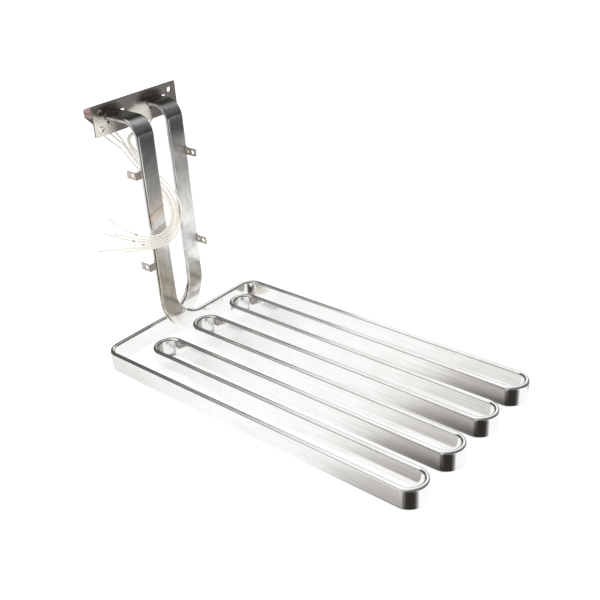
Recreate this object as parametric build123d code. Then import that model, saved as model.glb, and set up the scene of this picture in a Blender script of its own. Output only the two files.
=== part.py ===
"""Flat tubular immersion heater, millimetres, +Z up, resting on its eight runs.

One oblong metal tube is bent into eight on-edge runs, two crossing edgewise bends
and two legs. The legs turn back through a mounting plate and end in rubber seals
with three wires each. Every size is set from the middle plane between the two
bars at the back of the runs (BAR_X), which follows from the overall depths.
"""
from build123d import *
import math
import os

os.makedirs("parts", exist_ok=True)

# Oblong tube: flat sides, half-round narrow edges.
TUBE_WIDE = 25.65
TUBE_THICK = 5.97
WALL = 0.9

# Runs: standing on edge, side by side, joined by half-circle bends.
RUN_PAIRS = 4
RUN_PITCH = 33.0
FRONT_DEPTH = 427.0
BACK_LOOP_FACE = 26.5

# Back: two bars one behind the other, each turning up edgewise into a leg.
BAR_STAGGER = 19.6
EDGE_BEND_INNER_R = 38.1
LEFT_LEG_Y = -27.4
RIGHT_LEG_Y = 36.0

# Top: legs turn back into two short stubs.
STUB_Z = 284.0
TOP_BEND_R = 19.0
STUB_END_DEPTH = 68.0

# Three heating coils, each drawn as a square bar of the coil's outer size, and
# the cold pins that carry the current past the top of the legs.
ELEMENT_COUNT = 3
ELEMENT_PITCH = 8.5
COIL_SIDE = 2.4
PIN_D = 1.6
COLD_LEG = 50.0
PIN_TURN_R = 2.5
FILL_RECESS = 2.0

# Mounting plate, with a slot for each stub left open beyond the stub's right edge.
PLATE_FRONT_DEPTH = 39.0
PLATE_THICK = 2.0
PLATE_W = 126.0
PLATE_H = 36.0
PLATE_SHIFT = 2.2
PLATE_ABOVE_STUB = 15.5
PLATE_HOLE_D = 6.6
PLATE_HOLE_DY = 106.0
PLATE_HOLE_DZ = 19.0
SLOT_CLEARANCE = 0.2
SLOT_EXTRA = 4.3
VENT_D = 3.6
VENT_INSET = 4.0
VENT_DROP = 6.6
PLATE_CORNER_R = 1.0
WELD_LEG = 1.2
WELD_LAND = 0.3

# Clips on the legs: folded strip with round holes.
CLIP_T = 1.2
CLIP_H = 9.2
CLIP_HOLE_D = 4.9
CLIP_HEIGHTS = {"upper": 225.0, "lower": 110.0}
CLIP_FOLD_R = 1.3
CLIP_CORNER_R = 1.0
LEFT_CLIP_REACH = 8.3
LEFT_CLIP_LENGTH = 15.2
LEFT_CLIP_HOLE = 6.2
LEFT_CLIP_WEB_OFFSET = 0.4
RIGHT_CLIP_INSET = 4.8
RIGHT_CLIP_LENGTH = 18.8
RIGHT_CLIP_FOOT = 3.6
RIGHT_CLIP_HOLES = (4.4, 13.6)

# Rubber seals over the stub ends, each with a lobe that hangs down behind the plate.
SEAL_DEPTH = 77.0
SEAL_LENGTH = 28.0
SEAL_WALL_SIDE = 1.8
SEAL_ABOVE = 4.2
SEAL_BELOW = 7.8
SEAL_LOBE_BELOW = 14.0
SEAL_LOBE_LENGTH = 10.0
SEAL_HOLLOW_R = 5.5
SEAL_BACK_ROUND = 3.2
SEAL_ROUND = 3.0
SEAL_MOUTH_ROUND = 0.6

# Wires leaving the flat underside of the lobes, each with a bare twisted tip.
WIRE_DEPTH = 54.8
WIRE_D = 2.4
TIP_D = 1.7
TIP_LENGTH = 9.3

# Derived places.
BAR_X = (SEAL_DEPTH - FRONT_DEPTH) / 2
RUN_COUNT = 2 * RUN_PAIRS
HALF_WIDE = TUBE_WIDE / 2
HALF_THICK = TUBE_THICK / 2
RUN_Z = HALF_WIDE
TURN_R = RUN_PITCH / 2
EDGE_BEND_R = EDGE_BEND_INNER_R + HALF_WIDE
OUTER_RUN_Y = (RUN_COUNT - 1) * RUN_PITCH / 2
FRONT_CENTRE_X = BAR_X + FRONT_DEPTH - HALF_THICK - TURN_R
BACK_CENTRE_X = BAR_X + BACK_LOOP_FACE + HALF_THICK + TURN_R
LEFT_LEG_X = BAR_X + BAR_STAGGER / 2
RIGHT_LEG_X = BAR_X - BAR_STAGGER / 2
LEG_TOP_Z = STUB_Z - TOP_BEND_R
LEG_FOOT_Z = RUN_Z + EDGE_BEND_R
STUB_END_X = BAR_X - STUB_END_DEPTH
PLATE_FRONT_X = BAR_X - PLATE_FRONT_DEPTH
PLATE_Y = (LEFT_LEG_Y + RIGHT_LEG_Y) / 2 + PLATE_SHIFT
PLATE_Z = STUB_Z + PLATE_ABOVE_STUB - PLATE_H / 2
WIRE_X = BAR_X - WIRE_DEPTH
SEAL_BACK_X = BAR_X - SEAL_DEPTH
SEAL_MOUTH_X = SEAL_BACK_X + SEAL_LENGTH
SEAL_BOTTOM_Z = STUB_Z - SEAL_LOBE_BELOW
CORNER_Y = OUTER_RUN_Y - TURN_R
BORE_WIDE = TUBE_WIDE - 2 * WALL
BORE_THICK = TUBE_THICK - 2 * WALL
ELEMENTS = range(ELEMENT_COUNT)
LEGS = {"left": (LEFT_LEG_X, LEFT_LEG_Y), "right": (RIGHT_LEG_X, RIGHT_LEG_Y)}

# Chosen by hand: each wire droops off its seal, passes between the legs, swings
# round in front of the left leg and ends outside it. First point on the seal.
WIRE_POINTS = {
    1: [
        (-229.8, -35.9, 270), (-229.8, -35.9, 262.5), (-229, -32.5, 255), (-225.5, -26, 248),
        (-219.5, -19, 238.5), (-210.5, -14.5, 223.5), (-201.5, -7.5, 205), (-191, 0, 189),
        (-180, 4, 174.5), (-168.5, -0.5, 163.5), (-160, -10, 158), (-155.5, -23.5, 152.5),
        (-156, -37, 150), (-158.5, -49.5, 153), (-163, -60, 158), (-169, -67, 164),
        (-175, -72.5, 170.5), (-179, -77, 176),
    ],
    2: [
        (-229.8, -27.4, 270), (-229.8, -27.4, 263.5), (-228.3, -24.5, 256.5), (-224.3, -19, 249.5),
        (-217.5, -15, 240), (-207.5, -12, 224.5), (-198.5, -4.5, 206.5), (-188.5, 4, 190),
        (-178.5, 7, 173.5), (-169.5, 2, 162), (-161.5, -7.5, 155.5), (-156, -21, 149.5),
        (-156, -35.5, 147), (-158.5, -49.5, 149.5), (-163, -59.5, 153.5), (-169, -67.5, 157.5),
        (-173.5, -74.5, 161),
    ],
    3: [
        (-229.8, -18.9, 270), (-229.8, -18.9, 263.5), (-228.8, -16.8, 256.5),
        (-225.8, -13.5, 249.5), (-219.5, -12, 240), (-210, -9.5, 224.5), (-201, -2, 206),
        (-190.5, 8, 189), (-179, 10.5, 172.5), (-170, 5, 160), (-162.5, -5.5, 152),
        (-156.5, -19.5, 146.5), (-156, -34.5, 144), (-158.5, -49, 146.5), (-165, -59.5, 149.5),
        (-171, -69, 153.5), (-178, -75.5, 157.5), (-182.5, -82, 161.5),
    ],
    4: [
        (-229.8, 27.5, 270), (-229.8, 27.5, 263), (-230, 24.6, 256.3), (-230.3, 19, 251.2),
        (-230, 10.5, 248), (-227.5, 1.5, 247.2), (-223, -5, 243.8), (-216.5, -8, 237.5),
        (-207, -6, 225), (-198.5, 1, 207.5), (-189, 12, 189.5), (-179, 14.5, 171.5),
        (-170, 8.5, 158.5), (-163, -2, 149), (-157, -17, 143.5), (-156, -33, 141.2),
        (-158, -49, 143.8), (-160.5, -60, 147),
    ],
    5: [
        (-229.8, 36, 270), (-229.8, 36, 263), (-230.3, 33, 256.3), (-232.2, 27, 251.3),
        (-234.5, 16.5, 248.5), (-233.5, 4, 247), (-227, -4, 241.5), (-217.5, -5, 230),
        (-209, -0.5, 216), (-201, 6, 203), (-192, 14.5, 188), (-180.5, 17, 171),
        (-171, 12, 157), (-163.5, 1, 146), (-157, -15, 140), (-156, -32, 138.2),
        (-158, -49.5, 141), (-163, -62.5, 143.5), (-169, -73.5, 145.5), (-175, -84.5, 147),
        (-179.5, -94.5, 148.5),
    ],
    6: [
        (-229.8, 44.5, 270), (-229.8, 44.5, 263), (-230.8, 41.3, 256.3), (-234, 34.5, 250.8),
        (-237.8, 24, 246.5), (-238.5, 11.5, 244), (-232.5, 3, 240), (-222.5, -0.5, 235.5),
        (-213, 0, 227), (-204, 3.5, 216), (-195, 10, 202), (-184, 17, 187),
        (-174.5, 19.5, 170.5), (-167.5, 14, 156), (-162.5, 3, 143), (-157, -12.5, 137),
        (-156, -31, 135.2), (-158, -49, 138), (-162, -61, 140.5), (-166, -69.5, 141.5),
    ],
}


def stadium(wide, thick):
    """Oblong outline with half-round narrow edges, long side along local X."""
    return SlotOverall(wide, thick)


TUBE_SECTION = stadium(TUBE_WIDE, TUBE_THICK) - stadium(BORE_WIDE, BORE_THICK)


def straight(length):
    """One step of a route: straight on."""
    return ("straight", length, None)


def bend(angle, radius, toward):
    """One step of a route: turn toward a direction, radius on the middle line."""
    return ("bend", angle, (radius, Vector(*toward)))


def walk(start, travel, wide, steps, section):
    """Solids of a bent bar: a section carried along straight pieces and bends.

    section is one sketch, or a function of the step number that returns one.
    Returns the fused solid, the length of the middle line and its end point.
    """
    here = Vector(*start)
    go = Vector(*travel)
    across = Vector(*wide)
    pieces = []
    total = 0.0
    for number, (kind, amount, detail) in enumerate(steps):
        sketch = section(number) if callable(section) else section
        face = Plane(origin=here, x_dir=across, z_dir=go) * sketch
        if kind == "straight":
            pieces.append(extrude(face, amount=amount, dir=go))
            here = here + go * amount
            total += amount
            continue
        radius, toward = detail
        centre = here + toward * radius
        axis = Axis(centre, go.cross(toward))
        pieces.append(revolve(face, axis, revolution_arc=amount))
        turn = math.radians(amount)
        sideways = across.dot(toward)
        here = centre - toward * (radius * math.cos(turn)) + go * (radius * math.sin(turn))
        new_toward = toward * math.cos(turn) - go * math.sin(turn)
        go = go * math.cos(turn) + toward * math.sin(turn)
        if abs(sideways) > 0.5:
            across = new_toward * sideways
        total += radius * turn
    return pieces[0].fuse(*pieces[1:]), total, here


def middle_steps():
    """The route between the two legs: edgewise bend, bars, runs, edgewise bend."""
    steps = [bend(90, EDGE_BEND_R, (0, 1, 0))]
    steps.append(straight(CORNER_Y - (LEFT_LEG_Y + EDGE_BEND_R)))
    steps.append(bend(90, TURN_R, (1, 0, 0)))
    steps.append(straight(FRONT_CENTRE_X - (LEFT_LEG_X + TURN_R)))
    for _ in range(RUN_COUNT - 2):
        steps.append(bend(180, TURN_R, (0, -1, 0)))
        steps.append(straight(FRONT_CENTRE_X - BACK_CENTRE_X))
    steps.append(bend(180, TURN_R, (0, -1, 0)))
    steps.append(straight(FRONT_CENTRE_X - (RIGHT_LEG_X + TURN_R)))
    steps.append(bend(90, TURN_R, (0, 1, 0)))
    steps.append(straight(RIGHT_LEG_Y - EDGE_BEND_R + CORNER_Y))
    steps.append(bend(90, EDGE_BEND_R, (0, 0, 1)))
    return steps


def hot_steps():
    """The heated part of the route: the middle and the legs below the cold pins."""
    leg = straight(LEG_TOP_Z - COLD_LEG - LEG_FOOT_Z)
    return [leg] + middle_steps() + [leg]


def end_steps(recess):
    """The stub and top bend that begin the route, and those that end it."""
    stub_in = straight(LEFT_LEG_X - TOP_BEND_R - STUB_END_X - recess)
    stub_out = straight(RIGHT_LEG_X - TOP_BEND_R - STUB_END_X - recess)
    first = [stub_in, bend(90, TOP_BEND_R, (0, 0, -1))]
    last = [bend(90, TOP_BEND_R, (-1, 0, 0)), stub_out]
    return first, last


def element_offset(index):
    """Place of one heating element across the wide side of the tube."""
    return (index - (ELEMENT_COUNT - 1) / 2) * ELEMENT_PITCH


def tunnels(sketch):
    """Bore outline with one hole per element, each shaped by the given sketch."""
    outline = stadium(BORE_WIDE, BORE_THICK)
    for index in ELEMENTS:
        outline -= Pos(element_offset(index), 0) * sketch
    return outline


def make_sheath():
    """The whole bent tube, open at both stub ends."""
    first, last = end_steps(0)
    leg = straight(LEG_TOP_Z - LEG_FOOT_Z)
    steps = first + [leg] + middle_steps() + [leg] + last
    start = (STUB_END_X, LEFT_LEG_Y, STUB_Z)
    return walk(start, (1, 0, 0), (0, 1, 0), steps, TUBE_SECTION)


def make_coil(index):
    section = Pos(element_offset(index), 0) * Rectangle(COIL_SIDE, COIL_SIDE)
    start = (LEFT_LEG_X, LEFT_LEG_Y, LEG_TOP_Z - COLD_LEG)
    return walk(start, (0, 0, -1), (0, 1, 0), hot_steps(), section)[0]


def make_pin(side, index):
    """Cold pin: up from the wire's end, back round the stub's end and to its coil."""
    leg_x, leg_y = LEGS[side]
    section = Pos(element_offset(index), 0) * Circle(PIN_D / 2)
    turn_x = STUB_END_X - PIN_TURN_R
    steps = [
        straight(SEAL_LOBE_BELOW - 3 * PIN_TURN_R),
        bend(90, PIN_TURN_R, (-1, 0, 0)),
        straight(WIRE_X - PIN_TURN_R - turn_x),
        bend(180, PIN_TURN_R, (0, 0, 1)),
        straight(leg_x - TOP_BEND_R - turn_x),
        bend(90, TOP_BEND_R, (0, 0, -1)),
        straight(COLD_LEG),
    ]
    start = (WIRE_X, leg_y, SEAL_BOTTOM_Z)
    return walk(start, (0, 0, 1), (0, 1, 0), steps, section)[0]


def make_fill():
    """Packed insulating powder: fills the bore round the coils and the pins."""
    hot = tunnels(Rectangle(COIL_SIDE, COIL_SIDE))
    cold = tunnels(Circle(PIN_D / 2))
    first, last = end_steps(FILL_RECESS)
    cold_leg = straight(COLD_LEG)
    steps = first + [cold_leg] + hot_steps() + [cold_leg] + last
    first_hot = len(first) + 1
    first_cold = len(steps) - len(last) - 1

    def section(number):
        return hot if first_hot <= number < first_cold else cold

    start = (STUB_END_X + FILL_RECESS, LEFT_LEG_Y, STUB_Z)
    return walk(start, (1, 0, 0), (0, 1, 0), steps, section)[0]


def along_stub(x, y, z):
    """Plane across a stub: local X along +Y, local Z along +X."""
    return Plane(origin=(x, y, z), x_dir=(0, 1, 0), z_dir=(1, 0, 0))


def make_plate():
    outline = RectangleRounded(PLATE_W, PLATE_H, PLATE_CORNER_R)
    for across in (-PLATE_HOLE_DY / 2, PLATE_HOLE_DY / 2):
        for up in (-PLATE_HOLE_DZ / 2, PLATE_HOLE_DZ / 2):
            outline -= Pos(across, up) * Circle(PLATE_HOLE_D / 2)
    slot_wide = TUBE_WIDE + 2 * SLOT_CLEARANCE + SLOT_EXTRA
    slot_thick = TUBE_THICK + 2 * SLOT_CLEARANCE
    stub_up = STUB_Z - PLATE_Z
    for leg_x, leg_y in LEGS.values():
        stub_across = leg_y - PLATE_Y
        outline -= Pos(stub_across + SLOT_EXTRA / 2, stub_up) * stadium(slot_wide, slot_thick)
        vent_across = stub_across - HALF_WIDE + VENT_INSET
        outline -= Pos(vent_across, stub_up - VENT_DROP) * Circle(VENT_D / 2)
    return extrude(along_stub(PLATE_FRONT_X, PLATE_Y, PLATE_Z) * outline, amount=-PLATE_THICK)


def make_weld(leg_y):
    """Bead between one stub and the plate's front, stopping short of the open end."""
    face = along_stub(PLATE_FRONT_X, leg_y, STUB_Z)
    outside = stadium(TUBE_WIDE + 2 * WELD_LEG, TUBE_THICK + 2 * WELD_LEG)
    slope = math.degrees(math.atan((WELD_LEG - WELD_LAND) / WELD_LEG))
    bead = extrude(face * outside, amount=WELD_LEG, taper=slope)
    bead -= extrude(face * stadium(TUBE_WIDE, TUBE_THICK), amount=WELD_LEG)
    open_end = Rectangle(TUBE_THICK, TUBE_WIDE, align=(Align.MIN, Align.CENTER))
    bead -= extrude(face * Pos(HALF_WIDE - HALF_THICK, 0) * open_end, amount=WELD_LEG)
    return bead


def folded_strip(points, height_z):
    """Upright strip along a line that folds once; the last point's end is rounded."""
    line = FilletPolyline(*points, radius=CLIP_FOLD_R)
    strip = Pos(0, 0, height_z - CLIP_H / 2) * extrude(trace(line, CLIP_T), amount=CLIP_H)
    end_face = strip.faces().filter_by(Axis.X).sort_by_distance(points[-1] + (height_z,)).first
    return fillet(end_face.edges().filter_by(Axis.Y), CLIP_CORNER_R)


def clip_hole(x, y, z):
    """Drill through a clip's flange, along Y."""
    return Pos(x, y, z) * Rot(90, 0, 0) * Cylinder(CLIP_HOLE_D / 2, 2 * CLIP_T)


def make_left_clip(height_z):
    """Folded strip whose web is welded to the left leg's outer edge."""
    web_x = LEFT_LEG_X + LEFT_CLIP_WEB_OFFSET
    edge_y = LEFT_LEG_Y - HALF_WIDE
    flange_y = edge_y - LEFT_CLIP_REACH + CLIP_T / 2
    inner_end = (web_x, edge_y + HALF_THICK)
    free_end = (web_x - LEFT_CLIP_LENGTH, flange_y)
    strip = folded_strip([inner_end, (web_x, flange_y), free_end], height_z)
    strip -= clip_hole(web_x - LEFT_CLIP_HOLE, flange_y, height_z)
    leg = Pos(LEFT_LEG_X, LEFT_LEG_Y, height_z) * Rot(0, 0, 90) * stadium(TUBE_WIDE, TUBE_THICK)
    return strip - extrude(leg, amount=CLIP_H, both=True)


def make_right_clip(height_z):
    """Folded strip whose foot lies on the right leg's front, with two holes."""
    face_x = RIGHT_LEG_X + HALF_THICK
    foot_x = face_x + CLIP_T / 2
    flange_y = RIGHT_LEG_Y + HALF_WIDE - RIGHT_CLIP_INSET
    foot_end = (foot_x, flange_y + RIGHT_CLIP_FOOT)
    free_end = (face_x + RIGHT_CLIP_LENGTH, flange_y)
    strip = folded_strip([foot_end, (foot_x, flange_y), free_end], height_z)
    for along in RIGHT_CLIP_HOLES:
        strip -= clip_hole(face_x + along, flange_y, height_z)
    return strip


def make_seal(side, pins):
    """Moulded rubber seal over a stub's end, with a plug that reaches the fill."""
    leg_y = LEGS[side][1]
    lobe_x = SEAL_MOUTH_X - SEAL_LOBE_LENGTH
    low = STUB_Z - SEAL_BELOW
    high = STUB_Z + SEAL_ABOVE
    outline = make_face(
        Polyline(
            (SEAL_BACK_X, low),
            (SEAL_BACK_X, high),
            (SEAL_MOUTH_X, high),
            (SEAL_MOUTH_X, SEAL_BOTTOM_Z),
            (lobe_x, SEAL_BOTTOM_Z),
            (lobe_x, low),
            close=True,
        )
    )
    hollow = outline.vertices().sort_by_distance((lobe_x, low)).first
    outline = fillet(hollow, SEAL_HOLLOW_R)
    outline = fillet(outline.vertices().group_by(Axis.X)[0], SEAL_BACK_ROUND)
    wide = TUBE_WIDE + 2 * SEAL_WALL_SIDE
    side_plane = Plane(origin=(0, leg_y + wide / 2, 0), x_dir=(1, 0, 0), z_dir=(0, -1, 0))
    block = extrude(side_plane * outline, amount=wide)
    mouth = block.faces().filter_by(Axis.X).sort_by(Axis.X).last
    block = fillet(block.faces().filter_by(Axis.Y).edges() - mouth.edges(), SEAL_ROUND)
    mouth = block.faces().filter_by(Axis.X).sort_by(Axis.X).last
    block = fillet(mouth.edges(), SEAL_MOUTH_ROUND)
    stub = along_stub(STUB_END_X, leg_y, STUB_Z)
    lap = SEAL_MOUTH_X - STUB_END_X
    block -= extrude(stub * stadium(TUBE_WIDE, TUBE_THICK), amount=lap)
    block += extrude(stub * stadium(BORE_WIDE, BORE_THICK), amount=FILL_RECESS)
    for pin in pins:
        block -= pin
    return block


def wire_radii(points):
    """Bend radius at each inner point: 0.45 of the shorter run beside it."""
    radii = []
    for before, at, after in zip(points, points[1:], points[2:]):
        run_in = Vector(*at) - Vector(*before)
        run_out = Vector(*after) - Vector(*at)
        half_turn = math.radians(run_in.get_angle(run_out)) / 2
        radii.append(0.45 * min(run_in.length, run_out.length) / math.tan(half_turn))
    return radii


def make_wire(points):
    """Insulated wire and its bare tip, which carries on straight from its end."""
    radii = wire_radii(points)
    path = FilletPolyline(*points, radius=radii)
    start = Plane(origin=path @ 0, z_dir=path % 0)
    wire = sweep(start * Circle(WIRE_D / 2), path=path)
    end = Plane(origin=path @ 1, z_dir=path % 1)
    tip = extrude(end * Circle(TIP_D / 2), amount=TIP_LENGTH)
    return wire, tip, path.length, min(radii)


def save(shape, node):
    export_step(shape, "parts/" + node + ".step")


sheath, path_length, last_point = make_sheath()
print("tube length", round(path_length, 1), "ends at", last_point)
print("tube volume", round(sheath.volume))
print("   section x length", round(TUBE_SECTION.area * path_length))
save(sheath, "sheath")
save(make_fill(), "mineral_fill")
for index in ELEMENTS:
    save(make_coil(index), "heating_coil_" + str(index + 1))
save(make_plate(), "mounting_plate")
for side, (leg_x, leg_y) in LEGS.items():
    pins = [make_pin(side, index) for index in ELEMENTS]
    for index, pin in enumerate(pins):
        save(pin, "terminal_pin_" + side + "_" + str(index + 1))
    save(make_weld(leg_y), "weld_bead_" + side)
    save(make_seal(side, pins), "end_seal_" + side)
for level, height_z in CLIP_HEIGHTS.items():
    save(make_left_clip(height_z), "clip_left_" + level)
    save(make_right_clip(height_z), "clip_right_" + level)
for number, points in WIRE_POINTS.items():
    wire, tip, length, tightest = make_wire(points)
    flat_volume = math.pi * WIRE_D**2 / 4 * length
    print("lead", number, "length", round(length, 1), "tightest bend", round(tightest, 1))
    print("   volume", round(wire.volume, 1), "section x length", round(flat_volume, 1))
    save(wire, "lead_" + str(number))
    save(tip, "lead_tip_" + str(number))
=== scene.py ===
"""Looks of the flat tubular heater: studio, camera, steel, rubber seals and wires.

Wires, seals and the camera are in millimetres, and places in materials and in the studio are in
metres, all in the CAD frame. A span holds where a change starts and where it ends.
"""
import math

import bpy
import bmesh
from mathutils import Matrix, Vector


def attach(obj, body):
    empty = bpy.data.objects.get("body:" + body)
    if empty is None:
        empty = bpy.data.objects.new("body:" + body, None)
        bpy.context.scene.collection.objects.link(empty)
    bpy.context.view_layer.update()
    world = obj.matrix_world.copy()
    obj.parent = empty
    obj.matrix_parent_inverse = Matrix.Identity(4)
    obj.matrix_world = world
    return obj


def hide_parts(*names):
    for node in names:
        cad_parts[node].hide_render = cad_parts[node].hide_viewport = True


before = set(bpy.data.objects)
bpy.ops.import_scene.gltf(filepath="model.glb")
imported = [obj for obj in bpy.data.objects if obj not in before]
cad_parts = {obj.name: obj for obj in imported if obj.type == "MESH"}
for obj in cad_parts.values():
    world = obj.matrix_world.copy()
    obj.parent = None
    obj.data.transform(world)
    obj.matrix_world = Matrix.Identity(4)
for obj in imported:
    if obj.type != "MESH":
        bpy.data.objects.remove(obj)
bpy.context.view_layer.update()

MM = 0.001


def grey(value):
    return (value, value, value)


# Camera fitted to the photograph.
CAMERA_AT = Vector((582.77, -635.96, 567.97)) * MM
CAMERA_RIGHT = Vector((0.77064, 0.63471, -0.05709))
CAMERA_FORWARD = Vector((-0.57825, 0.65879, -0.48127))
CAMERA_LENS = 52.78
SENSOR_WIDTH = 36.0
CLIP_NEAR = 0.01
CLIP_FAR = 60.0

# Wires: diameter, smoothness, and the lengths and routes of the CAD's wires, millimetres.
WIRE_D = 2.4
WIRE_STEPS = 10
WIRE_BEVEL_STEPS = 5
WIRE_POINTS = {
    1: [
        (-229.8, -35.9, 270), (-229.8, -35.9, 262.5), (-229, -32.5, 255), (-225.5, -26, 248),
        (-219.5, -19, 238.5), (-210.5, -14.5, 223.5), (-201.5, -7.5, 205), (-191, 0, 189),
        (-180, 4, 174.5), (-168.5, -0.5, 163.5), (-160, -10, 158), (-155.5, -23.5, 152.5),
        (-156, -37, 150), (-158.5, -49.5, 153), (-163, -60, 158), (-169, -67, 164),
        (-175, -72.5, 170.5), (-179, -77, 176),
    ],
    2: [
        (-229.8, -27.4, 270), (-229.8, -27.4, 263.5), (-228.3, -24.5, 256.5), (-224.3, -19, 249.5),
        (-217.5, -15, 240), (-207.5, -12, 224.5), (-198.5, -4.5, 206.5), (-188.5, 4, 190),
        (-178.5, 7, 173.5), (-169.5, 2, 162), (-161.5, -7.5, 155.5), (-156, -21, 149.5),
        (-156, -35.5, 147), (-158.5, -49.5, 149.5), (-163, -59.5, 153.5), (-169, -67.5, 157.5),
        (-173.5, -74.5, 161),
    ],
    3: [
        (-229.8, -18.9, 270), (-229.8, -18.9, 263.5), (-228.8, -16.8, 256.5),
        (-225.8, -13.5, 249.5), (-219.5, -12, 240), (-210, -9.5, 224.5), (-201, -2, 206),
        (-190.5, 8, 189), (-179, 10.5, 172.5), (-170, 5, 160), (-162.5, -5.5, 152),
        (-156.5, -19.5, 146.5), (-156, -34.5, 144), (-158.5, -49, 146.5), (-165, -59.5, 149.5),
        (-171, -69, 153.5), (-178, -75.5, 157.5), (-182.5, -82, 161.5),
    ],
    4: [
        (-229.8, 27.5, 270), (-229.8, 27.5, 263), (-230, 24.6, 256.3), (-230.3, 19, 251.2),
        (-230, 10.5, 248), (-227.5, 1.5, 247.2), (-223, -5, 243.8), (-216.5, -8, 237.5),
        (-207, -6, 225), (-198.5, 1, 207.5), (-189, 12, 189.5), (-179, 14.5, 171.5),
        (-170, 8.5, 158.5), (-163, -2, 149), (-157, -17, 143.5), (-156, -33, 141.2),
        (-158, -49, 143.8), (-160.5, -60, 147),
    ],
    5: [
        (-229.8, 36, 270), (-229.8, 36, 263), (-230.3, 33, 256.3), (-232.2, 27, 251.3),
        (-234.5, 16.5, 248.5), (-233.5, 4, 247), (-227, -4, 241.5), (-217.5, -5, 230),
        (-209, -0.5, 216), (-201, 6, 203), (-192, 14.5, 188), (-180.5, 17, 171),
        (-171, 12, 157), (-163.5, 1, 146), (-157, -15, 140), (-156, -32, 138.2),
        (-158, -49.5, 141), (-163, -62.5, 143.5), (-169, -73.5, 145.5), (-175, -84.5, 147),
        (-179.5, -94.5, 148.5),
    ],
    6: [
        (-229.8, 44.5, 270), (-229.8, 44.5, 263), (-230.8, 41.3, 256.3), (-234, 34.5, 250.8),
        (-237.8, 24, 246.5), (-238.5, 11.5, 244), (-232.5, 3, 240), (-222.5, -0.5, 235.5),
        (-213, 0, 227), (-204, 3.5, 216), (-195, 10, 202), (-184, 17, 187),
        (-174.5, 19.5, 170.5), (-167.5, 14, 156), (-162.5, 3, 143), (-157, -12.5, 137),
        (-156, -31, 135.2), (-158, -49, 138), (-162, -61, 140.5), (-166, -69.5, 141.5),
    ],
}

# Bare tips: strands twisted round a shorter middle one, and how far they fan at the cut end.
TIP_LENGTH = 9.3
STRAND_D = 0.56
STRANDS = 6
STRAND_TURNS = 1.3
STRAND_FAN = 0.22
STRAND_SIDES = 8
STRAND_RINGS = 18
MIDDLE_STRAND_SHARE = 0.985

# Grey marker bands: wire number and place in millimetres, reach in metres, share of the tone.
MARKERS = {1: (-164.4, -61.6, 159.4), 3: (-167.7, -63.8, 151.3), 4: (-159.8, -57.2, 146.2)}
MARKER_REACH = 0.006
MARKER_TONE = (0.45, 0.43, 0.42)
MARKER_BAND = [
    (0.0, grey(0)), (0.13, grey(0)), (0.18, grey(1)), (0.3, grey(1)), (0.35, grey(0)), (1.0, grey(0)),
]

# Insulation of the wires: scales of its clouds and fine texture, tones and roughness.
COVER_CLOUD_SCALE = 90.0
COVER_FINE_SCALE = 900.0
COVER_TONES = [(0.36, (0.94, 0.9, 0.79)), (0.64, (0.98, 0.965, 0.91))]
COVER_ROUGH = (0.38, 0.5)
COVER_BUMP = 0.0001

# Rubber webs under the seals: middle of each seal, outline as X and Z, half width, rounding.
SEAL_MIDDLES = {"seal_web_left": -27.4, "seal_web_right": 36.0}
WEB_OUTLINE = [(-250.2, 277.6), (-249.6, 275.9), (-236.6, 270.2), (-233.0, 270.2), (-233.0, 277.6)]
WEB_HALF = 13.0
WEB_ROUND = 0.9

# Places on the CAD's tube and clips that marks and shades are tied to, metres.
RUN_PITCH = 0.033
HALF_PITCH = RUN_PITCH / 2
LEFT_LEG_Y = -0.0274
CLIP_HEIGHTS = (0.225, 0.11)
OUTER_FACE_SPAN = (-0.121, -0.119)

# Usual span of noise, and the grain, clouds, roughness and unevenness of all steel.
NOISE_SPAN = (0.3, 0.7)
CLOUD_SPAN = (0.35, 0.65)
CLOUD_SCALE = 30.0
CLOUD_ROUGH = (-0.02, 0.03)
GRAIN_ROUGH = (0.85, 1.2)
UNEVEN_SCALE = 34.0
GRAIN_BUMP = 0.0002

# Haze low on the plate's front, its roughness and share of metal, and the dark tone on the plate's
# edge that faces -Y.
HAZE_HEIGHT_SPAN = (0.287, 0.277)
HAZE_WANDER = 0.003
HAZE_LEFT_SPAN = (-0.024, -0.043)
HAZE_BETWEEN_SPANS = ((-0.008, -0.003), (0.028, 0.022))
HAZE_TONE = (1.0, 0.95, 0.84)
HAZE_ROUGH = 0.2
HAZE_METAL = 0.12
FRONT_FACING = (0.5, 0.8)
DARK_EDGE_FACING = (-0.5, -0.8)
DARK_EDGE_TONE = (0.17, 0.165, 0.155)

# Painted dark reflection of each stub on the plate above it: middles across the plate, height, half
# sizes, edge and tone.
STUB_REFLECTION_MIDDLES = (-0.033, 0.028)
STUB_REFLECTION_HEIGHT = 0.291
STUB_REFLECTION_HALF_WIDE = 0.02
STUB_REFLECTION_HALF_HIGH = 0.0085
STUB_REFLECTION_EDGE = (0.35, 1.3)
STUB_REFLECTION_WANDER = 0.25
STUB_REFLECTION_TONE = (0.3, 0.28, 0.265)

# Dull zones beside the right leg's clips, and the pale one beside the lower clip.
DULL_ABOVE_CLIP = 0.006
DULL_SPAN = (0.009, 0.022)
DULL_ROUGH = 0.2
PALE_METAL = 0.45
RIGHT_LEG_SPAN = (0.012, 0.022)

# Mottle of the legs, and the painted dark reflection on their top, which starts lower on the right
# leg.
LEG_SPAN = (0.03, 0.06)
LEG_GRAIN = (170, 170, 75)
LEG_MOTTLE = [(0.34, grey(0.82)), (0.5, grey(0.97)), (0.66, grey(1.0))]
LEG_TOP_SPAN = (0.244, 0.262)
LEG_TOP_WANDER = 0.006
LEG_TOP_REFLECTION_TONE = 0.62
RIGHT_TOP_SPAN = (0.0, 0.02)
RIGHT_TOP_LOWER = 0.014
LEG_ROUGH_SPAN = (0.03, 0.08)
LEG_ROUGH = 0.04

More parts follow.
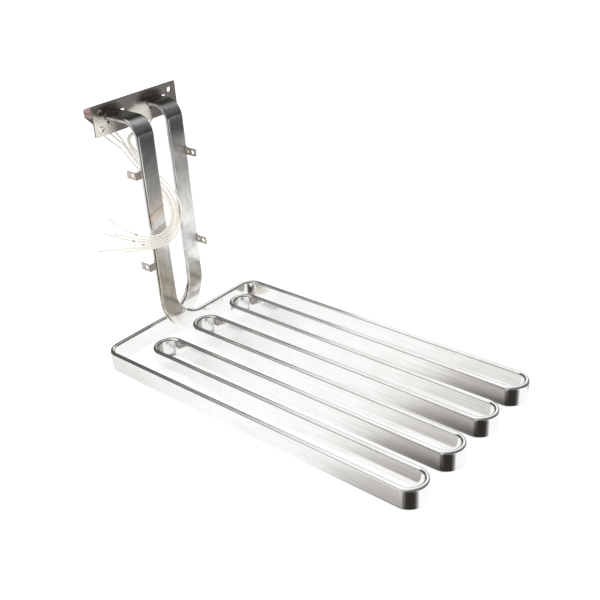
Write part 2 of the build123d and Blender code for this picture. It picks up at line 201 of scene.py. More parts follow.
# Drawn streaks along the runs, faint on their rear half and at the front bends.
STREAK_GRAIN = (16, 16, 380)
STREAKS = [(0.36, (0.86, 0.845, 0.82)), (0.5, (0.97, 0.965, 0.955)), (0.62, grey(1.0))]
STREAK_REAR_SPAN = (0.0, 0.15)
STREAK_REAR_PLAIN = (0.85, 0.15)
STREAK_FRONT_SPAN = (0.228, 0.24)
STREAK_FRONT_PLAIN = (0.0, 0.8)

# Brown tarnish low on the legs, with painted shadow of the wires on the left leg: how it leans, and
# its height and Y spans on each leg.
TARNISH_AND_SHADOW_LEAN = 2.0
TARNISH_AND_SHADOW_WANDER = 0.008
LEFT_TARNISH_AND_SHADOW_SPAN = (0.128, 0.1)
LEFT_TARNISH_AND_SHADOW_Y_SPAN = (0.012, -0.008)
TARNISH_RIGHT_SPAN = (0.08, 0.06)
TARNISH_RIGHT_Y_SPAN = (0.012, 0.02)
TARNISH_RIGHT_SHARE = 0.6
TARNISH_AND_SHADOW_BACK_SPAN = (-0.158, -0.1625)
TARNISH_AND_SHADOW_FOOT_SPAN = (0.02, 0.05)
TARNISH_AND_SHADOW_TONE = (0.88, 0.835, 0.75)

# Painted reflection of the wire bundle across the left leg's front, as brown and grey bands: height
# span, lean, and tones from low to high.
WIRE_REFLECTION_SPAN = (0.16, 0.22)
WIRE_REFLECTION_LEAN = 0.31
WIRE_REFLECTION_TONES = [
    (0.0, grey(1.0)), (0.092, grey(1.0)), (0.14, (1.0, 0.9, 0.79)), (0.26, (1.0, 0.86, 0.73)),
    (0.29, (0.6, 0.54, 0.48)), (0.308, (0.58, 0.52, 0.46)), (0.34, (0.97, 0.83, 0.71)),
    (0.43, (1.0, 0.87, 0.77)), (0.492, (0.9, 0.77, 0.66)), (0.508, grey(1.0)),
    (0.525, grey(0.74)), (0.75, grey(0.82)), (1.0, grey(1.0)),
]
LEFT_LEG_FRONT_SPAN = (-0.1645, -0.1628)
WIRE_REFLECTION_CLOUD_SPAN = (0.38, 0.62)
WIRE_REFLECTION_FAINTEST = 0.65

# Painted reflection inside the rear bends: where the bends are, and the stripes across one of them.
REAR_BEND_SPANS = ((-0.130, -0.135), (-0.146, -0.1435))
REAR_BEND_HALF = 0.0135
REAR_BEND_FACING = (0.25, 0.55)
REAR_BEND_REFLECTION_TONES = [
    (0.0, grey(1.0)), (0.12, (0.62, 0.6, 0.57)), (0.18, (0.45, 0.43, 0.4)),
    (0.25, (0.25, 0.235, 0.21)), (0.33, (0.38, 0.365, 0.34)), (0.41, (0.58, 0.565, 0.54)),
    (0.48, (0.45, 0.435, 0.41)), (0.56, grey(1.0)),
]

# Rubber: texture scales, roughness, height span of its tones, which paint shade below and highlight
# bands, and shade from back to plate.
RUBBER_CLOUD_SCALE = 160.0
RUBBER_FINE_SCALE = 1400.0
RUBBER_ROUGH = (0.38, 0.55)
RUBBER_BUMP = 0.0002
RUBBER_WANDER = 0.1
RUBBER_HEIGHT_SPAN = (0.2755, 0.2865)
RUBBER_DEPTH_SPAN = (-0.252, -0.226)
RUBBER_SHADE = [(0.0, grey(0.8)), (0.2, grey(1.0)), (0.6, grey(1.0)), (1.0, grey(0.7))]
HIGHLIGHT_LIGHTER = 0.11

# Sky that metal sees, by the X of its direction, and the darker band above the horizon.
SKY_SPAN = (-0.75, 0.85)
SKY = [
    (0.0, grey(0.09)), (0.05, grey(0.105)), (0.0656, grey(0.18)), (0.0859, grey(0.32)),
    (0.107, grey(0.6)), (0.1306, grey(0.87)), (0.157, grey(1.0)), (0.375, grey(1.0)),
    (0.5, grey(0.75)), (0.625, grey(0.5)), (0.78, grey(0.18)), (1.0, grey(0.13)),
]
SKY_HEIGHT_SPAN = (0.15, 0.42)
LOW_SKY = (0.07, 0.068, 0.065)
HORIZON_SPAN = (-0.02, 0.02)

# Ground that metal sees, by how nearly it looks into the dark sector of the room.
DARK_SECTOR = (0.6225, -0.7826, 0.0)
GROUND = [
    (0.0, grey(1.0)), (0.65, grey(1.0)), (0.71, grey(0.6)), (0.77, grey(0.3)),
    (0.86, (0.15, 0.14, 0.13)), (0.9, (0.04, 0.037, 0.034)), (1.0, (0.03, 0.027, 0.024)),
]
SHALLOW_SPAN = (-0.46, -0.38)
SHALLOW_PALER = 0.14
TWICE_MIRRORED = (0.42, 0.4, 0.37)
ROOM_STRENGTH = 0.9

# Near floor that metal sees: how it dims along the runs, in the gaps and in the slots.
NEAR_SPAN = (-0.2, 0.26)
NEAR_DIM = [
    (0.0, grey(0.2)), (0.13, grey(0.18)), (0.26, grey(0.07)), (0.37, grey(0.0)),
    (0.652, grey(0.0)), (0.739, grey(0.15)), (0.804, grey(0.4)), (0.848, grey(0.5)),
    (0.882, grey(0.56)), (0.944, grey(0.64)), (0.953, grey(0.64)), (0.963, grey(0.0)),
]
GAP_SPAN = (-0.011, 0.0055)
GAP_DEPTH = (0.9, 1.42)
OUTER_FACE_DEPTH = (0.65, 1.0)
SLOT_DEPTH = (0.95, 0.35)
SLOT_DIM = [
    (0.0, grey(0.75)), (0.4, grey(0.9)), (0.56, grey(1.0)), (0.62, grey(1.25)),
    (0.68, grey(0.0)), (1.0, grey(0.0)),
]
REAR_CLEAR_SPAN = (-0.14, -0.125)
REAR_CLEAR = 0.9
DARKEST_NEAR = 0.05
NEAR_TONES = [(0.0, (0.05, 0.046, 0.042)), (0.5, (0.5, 0.485, 0.46)), (1.0, grey(1.0))]

# Far floor that metal sees, behind the part.
FAR_SPAN = (-0.3, 0.7)
FAR_TONES = [
    (0.0, (1.0, 0.99, 0.97)), (0.3, (1.0, 1.0, 0.98)), (0.37, (0.98, 0.98, 0.96)),
    (0.44, (0.72, 0.71, 0.68)), (0.5, (0.46, 0.45, 0.43)), (0.57, (0.33, 0.32, 0.31)),
    (0.64, (0.16, 0.155, 0.15)), (0.7, (0.09, 0.087, 0.084)), (0.77, (0.03, 0.028, 0.026)),
    (0.8, (0.06, 0.058, 0.056)), (0.84, (0.15, 0.145, 0.14)), (0.9, (0.19, 0.184, 0.178)),
    (1.0, (0.17, 0.163, 0.157)),
]
BEHIND_SPAN = (0.12, 0.14)

# Pale cards on the near floor, seen by the rear bends and by the rear right corner.
CARD_TONES = [
    (0.0, grey(0.55)), (0.16, grey(0.6)), (0.24, grey(0.78)), (0.34, grey(0.92)), (1.0, grey(0.92)),
]
CARD_SPANS = ((-0.136, -0.132), (-0.105, -0.112))
CARD_REACH_Y = 0.085
CORNER_TONE = (0.66, 0.6, 0.53)
CORNER_Y_SPANS = ((0.079, 0.087), (0.109, 0.099))
CORNER_X_SPANS = ((-0.166, -0.162), (-0.143, -0.16))

# Studio: floor and flag as two corners and a height, and lamps as place, side and power.
FLOOR_CORNERS = ((-8.0, -8.0), (8.0, 8.0))
FLOOR_HEIGHT = 0.0
FLOOR_TONE = 0.85
FLOOR_GLOW = 0.5
FLAG_CORNERS = ((-0.45, -0.05), (-0.165, 0.2))
FLAG_HEIGHT = 0.33
FLAG_TONE = (0.05, 0.048, 0.046)
FLAG_X_SPAN = (-0.2, -0.165)
FLAG_Y_SPAN = (-0.05, -0.03)
LAMPS_LOOK_AT = (0, 0, 0.1)
LAMPS = {"key": ((-0.6, -1.4, 1.6), 1.4, 10.0), "fill": ((1.4, -0.2, 1.6), 1.2, 4.5)}


def opaque(colour):
    """A socket as it is, or a plain colour with its alpha."""
    return colour if isinstance(colour, bpy.types.NodeSocket) else (*colour, 1.0)


class Nodes:
    """Small helper that builds a node tree with few words."""

    def __init__(self, owner):
        owner.use_nodes = True
        self.tree = owner.node_tree
        self.tree.nodes.clear()

    def add(self, kind, inputs=None, **settings):
        node = self.tree.nodes.new(kind)
        for key, value in settings.items():
            setattr(node, key, value)
        for key, value in (inputs or {}).items():
            if isinstance(value, bpy.types.NodeSocket):
                self.tree.links.new(value, node.inputs[key])
            else:
                node.inputs[key].default_value = value
        return node

    def where(self, kind="Object"):
        return self.add("ShaderNodeTexCoord").outputs[kind]

    def axes(self, vector):
        """X, Y and Z of a vector."""
        return tuple(self.add("ShaderNodeSeparateXYZ", {"Vector": vector}).outputs)

    def math(self, operation, a, b=0.0):
        return self.add("ShaderNodeMath", {0: a, 1: b}, operation=operation).outputs[0]

    def plus(self, first, second):
        return self.math("ADD", first, second)

    def times(self, first, *others):
        for other in others:
            first = self.math("MULTIPLY", first, other)
        return first

    def wrap(self, value, top, bottom):
        inputs = {0: value, 1: top, 2: bottom}
        return self.add("ShaderNodeMath", inputs, operation="WRAP").outputs[0]

    def fade(self, value, span, start=0.0, end=1.0):
        """Straight change from start to end while the value crosses the span."""
        inputs = {
            "Value": value, "From Min": span[0], "From Max": span[1], "To Min": start, "To Max": end,
        }
        return self.add("ShaderNodeMapRange", inputs).outputs["Result"]

    def between(self, value, spans):
        """One inside two spans, each given from its clear side to its full side."""
        return self.times(self.fade(value, spans[0]), self.fade(value, spans[1]))

    def noise(self, vector, scale, detail, roughness=0.5):
        inputs = {"Vector": vector, "Scale": scale, "Detail": detail, "Roughness": roughness}
        return self.add("ShaderNodeTexNoise", inputs).outputs["Fac"]

    def grained(self, vector, grain, detail, roughness=0.5):
        """Noise stretched by its own scale along each axis."""
        stretched = self.add("ShaderNodeMapping", {"Vector": vector, "Scale": grain}).outputs[0]
        return self.noise(stretched, 1.0, detail, roughness)

    def ramp(self, value, stops):
        node = self.add("ShaderNodeValToRGB", {"Fac": value})
        elements = node.color_ramp.elements
        while len(elements) < len(stops):
            elements.new(0.5)
        for element, (place, colour) in zip(elements, stops):
            element.position = place
            element.color = opaque(colour)
        return node.outputs["Color"]

    def mix(self, share, first, second, blend="MIX"):
        inputs = {0: share, 6: opaque(first), 7: opaque(second)}
        return self.add("ShaderNodeMix", inputs, data_type="RGBA", blend_type=blend).outputs[2]

    def tinted(self, share, tone, tint):
        """The tone multiplied by the tint, to the share given."""
        return self.mix(share, tone, tint, "MULTIPLY")

    def bump(self, height, strength, distance, **normal):
        inputs = {"Height": height, "Strength": strength, "Distance": distance, **normal}
        return self.add("ShaderNodeBump", inputs).outputs[0]

    def glow(self, colour, strength=1.0):
        inputs = {"Color": opaque(colour), "Strength": strength}
        return self.add("ShaderNodeEmission", inputs).outputs[0]

    def principled(self, inputs):
        return self.add("ShaderNodeBsdfPrincipled", inputs).outputs[0]

    def either(self, share, first, second):
        """Shader between two others."""
        return self.add("ShaderNodeMixShader", {0: share, 1: first, 2: second}).outputs[0]

    def finish(self, shader, kind="ShaderNodeOutputMaterial"):
        self.tree.links.new(shader, self.add(kind).inputs["Surface"])


def link_new(name, data):
    """New object in the scene."""
    thing = bpy.data.objects.new(name, data)
    bpy.context.scene.collection.objects.link(thing)
    return thing


def make_camera():
    data = bpy.data.cameras.new("camera")
    data.sensor_fit = "HORIZONTAL"
    data.sensor_width = SENSOR_WIDTH
    data.lens = CAMERA_LENS
    data.clip_start = CLIP_NEAR
    data.clip_end = CLIP_FAR
    camera = link_new("camera", data)
    back = -CAMERA_FORWARD.normalized()
    up = back.cross(CAMERA_RIGHT).normalized()
    right = up.cross(back)
    turn = Matrix((right, up, back)).transposed().to_4x4()
    camera.matrix_world = Matrix.Translation(CAMERA_AT) @ turn
    bpy.context.scene.camera = camera


def steel(name, colour, rough, grain, mottle, wave=0.0, metal=1.0, marks_and_reflections=None):
    """Steel with faint drawn grain, cloudy tone and a slightly uneven face."""
    material = bpy.data.materials.new(name)
    n = Nodes(material)
    where = n.where()
    lines = n.grained(where, grain, 3.0)
    clouds = n.noise(where, CLOUD_SCALE, 5.0, 0.62)
    dark = [c * (1.0 - mottle) for c in colour]
    light = [min(1.0, c * (1.0 + mottle * 0.6)) for c in colour]
    tone = n.ramp(clouds, [(0.34, dark), (0.66, light)])
    rough_lines = n.fade(lines, NOISE_SPAN, *[rough * share for share in GRAIN_ROUGH])
    roughness = n.plus(rough_lines, n.fade(clouds, CLOUD_SPAN, *CLOUD_ROUGH))
    if marks_and_reflections:
        tone, added, metal = marks_and_reflections(n, where, clouds, tone)
        roughness = n.plus(roughness, added)
    uneven = n.bump(n.noise(where, UNEVEN_SCALE, 1.0), 1.0, wave)
    normal = n.bump(lines, 0.03, GRAIN_BUMP, Normal=uneven)
    n.finish(n.principled(
        {"Base Color": tone, "Metallic": metal, "Roughness": roughness, "Normal": normal}
    ))
    return material


def plate_marks_and_reflection(n, where, clouds, tone):
    """Plate's tone, added roughness and share of metal, with a painted dark reflection of the stubs
    and haze.
    """
    tone = stub_reflected(n, where, clouds, tone)
    tone, haze = hazed(n, where, clouds, tone)
    return tone, n.times(haze, HAZE_ROUGH), n.fade(haze, (0.0, 1.0), 1.0, HAZE_METAL)


def hazed(n, where, clouds, tone):
    """Pale haze low on the plate, left of the stubs and between them, and a dark tone on the edge that
    faces -Y.
    """
    _, y, z = n.axes(where)
    wander = n.fade(clouds, NOISE_SPAN, -HAZE_WANDER, HAZE_WANDER)
    low = n.fade(n.plus(z, wander), HAZE_HEIGHT_SPAN)
    left = n.fade(y, HAZE_LEFT_SPAN)
    middle = n.between(y, HAZE_BETWEEN_SPANS)
    facing_x, facing_y, _ = n.axes(n.where("Normal"))
    front = n.fade(facing_x, FRONT_FACING)
    dark_edge = n.fade(facing_y, DARK_EDGE_FACING)
    haze = n.times(n.math("MAXIMUM", left, middle), low, front)
    return n.mix(dark_edge, n.mix(haze, tone, HAZE_TONE), DARK_EDGE_TONE), haze


def stub_reflected(n, where, clouds, tone):
    """Painted dark reflection of each welded stub on the plate above it."""
    _, y, z = n.axes(where)
    wander = n.fade(clouds, NOISE_SPAN, -STUB_REFLECTION_WANDER, STUB_REFLECTION_WANDER)
    upward = n.math("DIVIDE", n.math("SUBTRACT", z, STUB_REFLECTION_HEIGHT), STUB_REFLECTION_HALF_HIGH)
    reflections = []
    for middle in STUB_REFLECTION_MIDDLES:
        across = n.math("DIVIDE", n.math("SUBTRACT", y, middle), STUB_REFLECTION_HALF_WIDE)
        away = n.plus(n.times(across, across), n.times(upward, upward))
        reflections.append(n.fade(n.plus(away, wander), STUB_REFLECTION_EDGE, 1.0, 0.0))
    dark = n.tinted(1.0, tone, STUB_REFLECTION_TONE)
    return n.mix(n.math("MAXIMUM", *reflections), tone, dark)


def tube_marks_and_reflections(n, where, clouds, tone):
    """Tube's tone, added roughness and share of metal, with drawn streaks, mottle and tarnish, and
    painted reflections and shadow.
    """
    place = n.axes(where)
    patches = n.grained(where, LEG_GRAIN, 4.0)
    on_legs = n.fade(place[2], LEG_SPAN)
    tone = mottle_and_top_reflection(n, place, patches, on_legs, tone)
    tone = streaked(n, where, place, on_legs, tone)
    tone = rear_bend_reflection(n, place, tone)
    tone = tarnish_and_wire_shadow(n, place, clouds, tone)
    tone = wire_reflected(n, place, clouds, tone)
    dull, pale = dulled(n, place)
    added = n.plus(n.fade(place[2], LEG_ROUGH_SPAN, 0.0, LEG_ROUGH), dull)
    return tone, added, n.fade(pale, (0.0, 1.0), 1.0, PALE_METAL)


def mottle_and_top_reflection(n, place, patches, on_legs, tone):
    """Mottled legs, with a painted dark reflection from just below the top bends on, starting lower on
    the right leg.
    """
    _, y, z = place
    tone = n.tinted(on_legs, tone, n.ramp(patches, LEG_MOTTLE))
    height = n.plus(z, n.fade(y, RIGHT_TOP_SPAN, 0.0, RIGHT_TOP_LOWER))
    wander = n.fade(patches, CLOUD_SPAN, -LEG_TOP_WANDER, LEG_TOP_WANDER)
    # Painted dark reflection on the top of the legs.
    upper = n.fade(n.plus(height, wander), LEG_TOP_SPAN, 1.0, LEG_TOP_REFLECTION_TONE)
    return n.tinted(1.0, tone, upper)


def streaked(n, where, place, on_legs, tone):
    """Drawn streaks along the runs, strongest before the front bends."""
    streaks = n.ramp(n.grained(where, STREAK_GRAIN, 4.0, 0.6), STREAKS)
    rear = n.fade(place[0], STREAK_REAR_SPAN, *STREAK_REAR_PLAIN)
    front = n.fade(place[0], STREAK_FRONT_SPAN, *STREAK_FRONT_PLAIN)
    plain = n.math("MAXIMUM", n.math("MAXIMUM", on_legs, rear), front)
    return n.tinted(1.0, tone, n.mix(plain, streaks, grey(1.0)))


def rear_bend_reflection(n, place, tone):
    """Painted reflection inside each rear bend, as upright dark and brown stripes."""
    x, y, _ = place
    facing_x = n.axes(n.where("Normal"))[0]
    across = n.wrap(y, RUN_PITCH, -RUN_PITCH)
    reflected_stripes = n.ramp(n.fade(across, (-REAR_BEND_HALF, REAR_BEND_HALF)), REAR_BEND_REFLECTION_TONES)
    inside = n.times(n.between(x, REAR_BEND_SPANS), n.fade(facing_x, REAR_BEND_FACING))
    return n.mix(inside, tone, n.tinted(1.0, tone, reflected_stripes))


def tarnish_and_wire_shadow(n, place, clouds, tone):
    """Brownish tarnish low on the legs, with painted shadow of the wires on the left leg, fading into
    the edgewise bends.
    """
    x, y, z = place
    lean = n.times(n.math("SUBTRACT", y, LEFT_LEG_Y), TARNISH_AND_SHADOW_LEAN)
    wander = n.fade(clouds, NOISE_SPAN, -TARNISH_AND_SHADOW_WANDER, TARNISH_AND_SHADOW_WANDER)
    height = n.plus(n.plus(z, lean), wander)
    # The left part is painted shadow of the wires, mixed with brown tarnish.
    left = n.times(n.fade(height, LEFT_TARNISH_AND_SHADOW_SPAN), n.fade(y, LEFT_TARNISH_AND_SHADOW_Y_SPAN))
    right = n.fade(z, TARNISH_RIGHT_SPAN, 0.0, TARNISH_RIGHT_SHARE)
    right = n.times(right, n.fade(y, TARNISH_RIGHT_Y_SPAN))
    back = n.times(n.fade(x, TARNISH_AND_SHADOW_BACK_SPAN), n.fade(z, TARNISH_AND_SHADOW_FOOT_SPAN))
    amount = n.times(n.math("MAXIMUM", left, right), back)
    return n.mix(amount, tone, n.tinted(1.0, tone, TARNISH_AND_SHADOW_TONE))


def wire_reflected(n, place, clouds, tone):
    """Painted reflection of the wire bundle across the left leg's front: two brown bands with a duller
    stretch above them.
    """
    x, y, z = place
    lean = n.times(n.math("SUBTRACT", y, LEFT_LEG_Y), WIRE_REFLECTION_LEAN)
    wire_reflection = n.ramp(n.fade(n.math("SUBTRACT", z, lean), WIRE_REFLECTION_SPAN), WIRE_REFLECTION_TONES)
    cloudy = n.fade(clouds, WIRE_REFLECTION_CLOUD_SPAN, WIRE_REFLECTION_FAINTEST, 1.0)
    on_front = n.times(n.fade(x, LEFT_LEG_FRONT_SPAN), cloudy)
    return n.mix(on_front, tone, n.tinted(1.0, tone, wire_reflection))


def dulled(n, place):
    """Added roughness beside the right leg's clips, and the pale zone beside the lower one."""
    _, y, z = place
    on_right = n.fade(y, RIGHT_LEG_SPAN)
    upper, lower = [
        n.fade(
            n.math("ABSOLUTE", n.math("SUBTRACT", z, height + DULL_ABOVE_CLIP)),
            DULL_SPAN, DULL_ROUGH, 0.0,
        )
        for height in CLIP_HEIGHTS
    ]
    dull = n.times(n.math("MAXIMUM", upper, lower), on_right)
    return dull, n.times(lower, on_right, 1.0 / DULL_ROUGH)


def rubber(name, upper, lower):
    """Moulded silicone: dusty rose on top, with painted shade making it browner below, painted
    highlight bands, and a fine mould texture.
    """
    material = bpy.data.materials.new(name)
    n = Nodes(material)
    where = n.where()
    depth, _, height = n.axes(where)
    clouds = n.noise(where, RUBBER_CLOUD_SCALE, 4.0)
    fine = n.noise(where, RUBBER_FINE_SCALE, 2.0)
    wander = n.fade(clouds, NOISE_SPAN, -RUBBER_WANDER, RUBBER_WANDER)
    place = n.plus(n.fade(height, RUBBER_HEIGHT_SPAN), wander)
    # Painted highlight bands, lighter than the upper tone.
    painted_highlight = [c + HIGHLIGHT_LIGHTER for c in upper]
    tone = n.ramp(place, [
        (0.0, lower), (0.24, lower), (0.36, painted_highlight), (0.5, painted_highlight),
        (0.66, upper), (0.86, upper), (1.0, painted_highlight),
    ])
    tone = n.tinted(1.0, tone, n.ramp(n.fade(depth, RUBBER_DEPTH_SPAN), RUBBER_SHADE))
    n.finish(n.principled({
        "Base Color": tone,
        "Roughness": n.fade(fine, NOISE_SPAN, *RUBBER_ROUGH),
        "Normal": n.bump(fine, 0.25, RUBBER_BUMP),
        "Subsurface Weight": 0.1,
        "Subsurface Scale": 0.002,
    }))
    return material


def wire_cover(name, marker):
    """Off-white insulation, a little yellowed, with a grey band round it at a marker."""
    material = bpy.data.materials.new(name)
    n = Nodes(material)
    where = n.where()
    fine = n.noise(where, COVER_FINE_SCALE, 3.0)
    tone = n.ramp(n.noise(where, COVER_CLOUD_SCALE, 3.0), COVER_TONES)
    if marker:
        inputs = {0: where, 1: tuple(Vector(marker) * MM)}
        away = n.add("ShaderNodeVectorMath", inputs, operation="DISTANCE").outputs["Value"]
        band = n.ramp(n.math("DIVIDE", away, MARKER_REACH), MARKER_BAND)
        tone = n.mix(band, tone, MARKER_TONE)
    n.finish(n.principled({
        "Base Color": tone,
        "Roughness": n.fade(fine, NOISE_SPAN, *COVER_ROUGH),
        "Normal": n.bump(fine, 0.2, COVER_BUMP),
    }))
    return material


def dress(node, material):
    """Give a CAD node its material."""
    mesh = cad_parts[node].data
    mesh.materials.clear()
    mesh.materials.append(material)


def make_wire(number, tip_metal):
    """One insulated wire on the CAD's route, as a smooth round curve."""
    points = [Vector(p) * MM for p in WIRE_POINTS[number]]
    curve = bpy.data.curves.new("wire_%d" % number, "CURVE")
    curve.dimensions = "3D"
    curve.resolution_u = WIRE_STEPS
    curve.bevel_depth = WIRE_D / 2 * MM
    curve.bevel_resolution = WIRE_BEVEL_STEPS
    curve.use_fill_caps = True
    spline = curve.splines.new("NURBS")
    spline.points.add(len(points) - 1)
    for control, point in zip(spline.points, points):
        control.co = (*point, 1.0)
    spline.order_u = 3
    spline.use_endpoint_u = True
    curve.materials.append(wire_cover("wire_cover_%d" % number, MARKERS.get(number)))
    wire = link_new("wire_%d" % number, curve)
    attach(wire, "root")
    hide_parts("lead_%d" % number)
    along = (points[-1] - points[-2]).normalized()
    tip = make_tip(number, points[-1], along, tip_metal)


def strand_middles(number, start, along, offset, phase):
    """Points along the middle of one strand, which winds round the tip's own middle."""
    side = along.cross(Vector((0, 0, 1))).normalized()
    other = along.cross(side)
    length = TIP_LENGTH * MM * (1.0 if offset else MIDDLE_STRAND_SHARE)
    points = []
    for step in range(STRAND_RINGS + 1):
        t = step / STRAND_RINGS
        angle = phase + t * STRAND_TURNS * math.tau + number
        out = offset * (1.0 + STRAND_FAN * t * t)
        around = side * (out * math.cos(angle)) + other * (out * math.sin(angle))
        points.append(start + along * (t * length) + around)
    return points


def add_strand(bm, middles, along):
    """Round rod along the middles given, with both ends closed."""
    side = along.cross(Vector((0, 0, 1))).normalized()
    other = along.cross(side)
    turns = [corner * math.tau / STRAND_SIDES for corner in range(STRAND_SIDES)]
    rims = [(side * math.cos(a) + other * math.sin(a)) * (STRAND_D / 2 * MM) for a in turns]
    loops = [[bm.verts.new(middle + rim) for rim in rims] for middle in middles]
    for first, second in zip(loops, loops[1:]):
        for corner in range(STRAND_SIDES):
            after = (corner + 1) % STRAND_SIDES
            bm.faces.new((first[corner], first[after], second[after], second[corner]))
    bm.faces.new(list(reversed(loops[0])))
    bm.faces.new(loops[-1])


def make_tip(number, start, along, tip_metal):
    """Bare strands twisted together, fanning very slightly at the cut end."""
    mesh = bpy.data.meshes.new("strands_%d" % number)
    bm = bmesh.new()
    around = [(STRAND_D * MM, k * math.tau / STRANDS) for k in range(STRANDS)]
    for offset, phase in [(0.0, 0.0)] + around:
        add_strand(bm, strand_middles(number, start, along, offset, phase), along)
    bmesh.ops.recalc_face_normals(bm, faces=bm.faces)
    for face in bm.faces:
        face.smooth = len(face.verts) == 4
    bm.to_mesh(mesh)
    bm.free()
    mesh.materials.append(tip_metal)
    tip = link_new("strands_%d" % number, mesh)
    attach(tip, "root")
    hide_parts("lead_tip_%d" % number)
    return tip


def make_web(name, middle, material):
    """Rubber web that slopes from a seal's lower back corner down to its lobe."""
    mesh = bpy.data.meshes.new(name)
    bm = bmesh.new()
    left, right = [
        [bm.verts.new(Vector((x, y, z)) * MM) for x, z in WEB_OUTLINE]
        for y in (middle - WEB_HALF, middle + WEB_HALF)
    ]
    bm.faces.new(left)
    bm.faces.new(list(reversed(right)))
    for index in range(len(WEB_OUTLINE)):
        after = (index + 1) % len(WEB_OUTLINE)
        bm.faces.new((left[index], right[index], right[after], left[after]))
    bmesh.ops.recalc_face_normals(bm, faces=bm.faces)
    bmesh.ops.bevel(
        bm, geom=list(bm.edges), offset=WEB_ROUND * MM, segments=3, profile=0.5, affect="EDGES"
    )
    for face in bm.faces:
        face.smooth = True
    bm.to_mesh(mesh)
    bm.free()
    mesh.materials.append(material)
    web = link_new(name, mesh)
    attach(web, "root")


def make_lamp(name, at, side, power):
    """Square soft lamp that metal doesn't see."""
    data = bpy.data.lights.new(name, "AREA")
    data.shape = "RECTANGLE"
    data.size = side
    data.size_y = side
    data.energy = power
    lamp = link_new(name, data)
    lamp.location = at
    lamp.visible_glossy = False
    toward = Vector(LAMPS_LOOK_AT) - Vector(at)
    lamp.rotation_euler = toward.to_track_quat("-Z", "Y").to_euler()


def room_ground(n, ray, z, glossy_depth):
    """Pale ground with one dark sector, softened in a second mirror image."""
    level = n.math("SQRT", n.math("MAXIMUM", n.math("SUBTRACT", 1.0, n.times(z, z)), 0.01))
    inputs = {0: ray, 1: DARK_SECTOR}
    toward = n.add("ShaderNodeVectorMath", inputs, operation="DOT_PRODUCT").outputs["Value"]
    facing = n.math("DIVIDE", toward, level)
    facing = n.math("SUBTRACT", facing, n.fade(z, SHALLOW_SPAN, 0.0, SHALLOW_PALER))
    again = n.fade(glossy_depth, (1.0, 2.0))
    return n.mix(again, n.ramp(facing, GROUND), TWICE_MIRRORED, "LIGHTEN")


def make_world():
    """White to the camera; metal sees a room with a banded sky and one dark sector of ground."""
    world = bpy.data.worlds.new("studio")
    bpy.context.scene.world = world
    n = Nodes(world)
    path = n.add("ShaderNodeLightPath").outputs
    ray = n.where("Generated")
    x, _, z = n.axes(ray)
    sky = n.mix(n.fade(z, SKY_HEIGHT_SPAN), LOW_SKY, n.ramp(n.fade(x, SKY_SPAN), SKY))
    ground = room_ground(n, ray, z, path["Glossy Depth"])
    room = n.mix(n.fade(z, HORIZON_SPAN), ground, sky)
    seen = n.mix(path["Is Glossy Ray"], grey(1.0), room)
    direct = n.math("MAXIMUM", path["Is Glossy Ray"], path["Is Transmission Ray"])
    direct = n.math("MAXIMUM", direct, path["Is Camera Ray"])
    strength = n.fade(direct, (0.0, 1.0), ROOM_STRENGTH, 1.0)
    background = n.add("ShaderNodeBackground", {"Color": seen, "Strength": strength})
    n.finish(background.outputs[0], "ShaderNodeOutputWorld")


def sheet(name, corners, height):
    """Flat horizontal sheet of the studio, with its nodes and the X and Y of a point on it."""
    (left, near), (right, far) = corners
    mesh = bpy.data.meshes.new(name)
    outline = [(left, near, height), (right, near, height), (right, far, height), (left, far, height)]
    mesh.from_pydata(outline, [], [(0, 1, 2, 3)])
    material = bpy.data.materials.new(name)
    mesh.materials.append(material)
    thing = link_new(name, mesh)
    n = Nodes(material)
    x, y, _ = n.axes(n.where())
    return thing, n, x, y


def near_tone(n, x, y, lane):
    """Colour of the near floor in metal: clear by the runs' middle, dim towards their ends."""
    dim = n.ramp(n.fade(x, NEAR_SPAN), NEAR_DIM)
    in_gap = n.fade(lane, GAP_SPAN, *GAP_DEPTH)
    in_gap = n.times(in_gap, n.fade(y, OUTER_FACE_SPAN, *OUTER_FACE_DEPTH))
    in_slot = n.ramp(n.fade(lane, (HALF_PITCH, 3 * HALF_PITCH)), SLOT_DIM)
    in_slot = n.times(in_slot, n.fade(y, (-3 * RUN_PITCH, 3 * RUN_PITCH), *SLOT_DEPTH))
    is_slot = n.math("GREATER_THAN", lane, HALF_PITCH)
    depth = n.add("ShaderNodeMix", {0: is_slot, 2: in_gap, 3: in_slot}).outputs[0]
    rear = n.times(n.fade(x, REAR_CLEAR_SPAN, REAR_CLEAR, 0.0), n.fade(y, OUTER_FACE_SPAN))
    depth = n.times(depth, n.math("SUBTRACT", 1.0, rear))
    clear = n.math("SUBTRACT", 1.0, n.times(dim, depth))
    return n.ramp(n.math("MAXIMUM", clear, DARKEST_NEAR), NEAR_TONES)


def floor_cards(n, x, y, lane):
    """Share and colour of the pale cards that the rear bends and the rear right corner see."""
    corner = n.times(n.between(y, CORNER_Y_SPANS), n.between(x, CORNER_X_SPANS))
    patch = n.ramp(n.fade(lane, (-HALF_PITCH, HALF_PITCH)), CARD_TONES)
    in_lane = n.math("LESS_THAN", lane, HALF_PITCH)
    in_reach = n.math("LESS_THAN", n.math("ABSOLUTE", y), CARD_REACH_Y)
    share = n.times(n.between(x, CARD_SPANS), in_lane, in_reach)
    return n.math("MAXIMUM", share, corner), n.mix(corner, patch, CORNER_TONE)


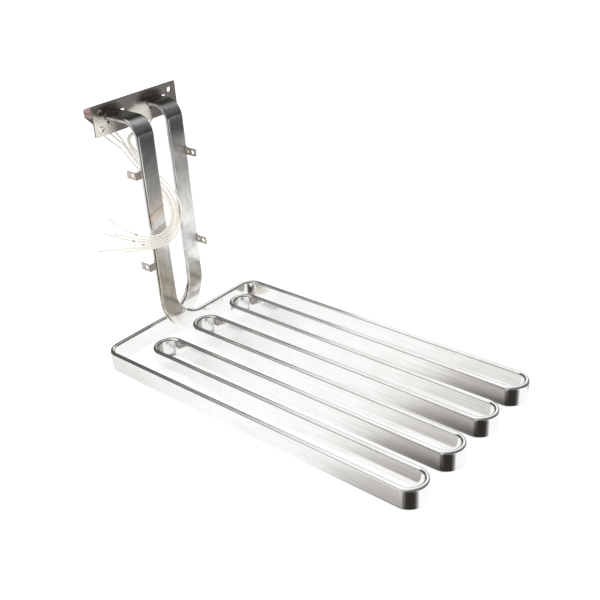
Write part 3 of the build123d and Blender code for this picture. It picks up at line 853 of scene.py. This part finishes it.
def make_floor():
    """Pale floor; metal sees through its near part, which dims in places and has pale cards."""
    _, n, x, y = sheet("floor", FLOOR_CORNERS, FLOOR_HEIGHT)
    path = n.add("ShaderNodeLightPath").outputs
    lane = n.wrap(y, 3 * HALF_PITCH, -HALF_PITCH)
    tone = near_tone(n, x, y, lane)
    clear = n.add("ShaderNodeBsdfTransparent", {"Color": tone}).outputs[0]
    card_share, card_tone = floor_cards(n, x, y, lane)
    near = n.either(card_share, clear, n.glow(card_tone))
    far = n.glow(n.ramp(n.fade(x, FAR_SPAN), FAR_TONES))
    to_metal = n.either(n.fade(y, BEHIND_SPAN), near, far)
    matt = n.add("ShaderNodeBsdfDiffuse", {"Color": opaque(grey(FLOOR_TONE))}).outputs[0]
    white = n.glow(grey(1.0), FLOOR_GLOW)
    to_camera = n.add("ShaderNodeAddShader", {0: matt, 1: white}).outputs[0]
    seen = n.either(path["Is Camera Ray"], matt, to_camera)
    n.finish(n.either(path["Is Glossy Ray"], seen, to_metal))


def make_flag():
    """Dark flag above the top bends that only metal sees."""
    flag, n, x, y = sheet("flag", FLAG_CORNERS, FLAG_HEIGHT)
    flag.visible_camera = False
    flag.visible_diffuse = False
    flag.visible_shadow = False
    flag.visible_transmission = False
    share = n.times(n.fade(x, FLAG_X_SPAN, 1.0, 0.0), n.fade(y, FLAG_Y_SPAN))
    clear = n.add("ShaderNodeBsdfTransparent").outputs[0]
    n.finish(n.either(share, clear, n.glow(FLAG_TONE)))


bpy.context.scene.view_settings.view_transform = "Standard"
make_camera()

strand_metal = steel(
    "strand_metal", colour=(1.0, 0.98, 0.95), rough=0.7, grain=(600, 600, 600), mottle=0.08, metal=0.35
)
for wire_number in WIRE_POINTS:
    make_wire(wire_number, strand_metal)

tube_steel = steel(
    "tube_steel", colour=(1.0, 0.99, 0.975), rough=0.13, grain=(60, 60, 900), mottle=0.05,
    wave=0.00004, marks_and_reflections=tube_marks_and_reflections,
)
plate_steel = steel(
    "plate_steel", colour=(0.98, 0.93, 0.86), rough=0.17, grain=(300, 60, 300), mottle=0.06,
    wave=0.0001, marks_and_reflections=plate_marks_and_reflection,
)
clip_steel = steel(
    "clip_steel", colour=(0.66, 0.6, 0.55), rough=0.36, grain=(300, 300, 60), mottle=0.12
)
weld_steel = steel(
    "weld_steel", colour=(0.4, 0.37, 0.35), rough=0.42, grain=(900, 900, 900), mottle=0.35
)
# The lower colour is painted shade under the seal.
seal_rubber = rubber("seal_rubber", upper=(0.25, 0.143, 0.132), lower=(0.078, 0.058, 0.047))
dressing = {
    "sheath": tube_steel,
    "mounting_plate": plate_steel,
    "clip_": clip_steel,
    "weld_bead": weld_steel,
    "end_seal": seal_rubber,
    "heating_coil": weld_steel,
    "terminal_pin": weld_steel,
    "mineral_fill": weld_steel,
}
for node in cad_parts:
    for beginning, cover in dressing.items():
        if node.startswith(beginning):
            dress(node, cover)

for web_name, seal_middle in SEAL_MIDDLES.items():
    make_web(web_name, seal_middle, seal_rubber)

make_world()
make_floor()
make_flag()
for lamp_name, (lamp_at, lamp_side, lamp_power) in LAMPS.items():
    make_lamp(lamp_name, lamp_at, lamp_side, lamp_power)
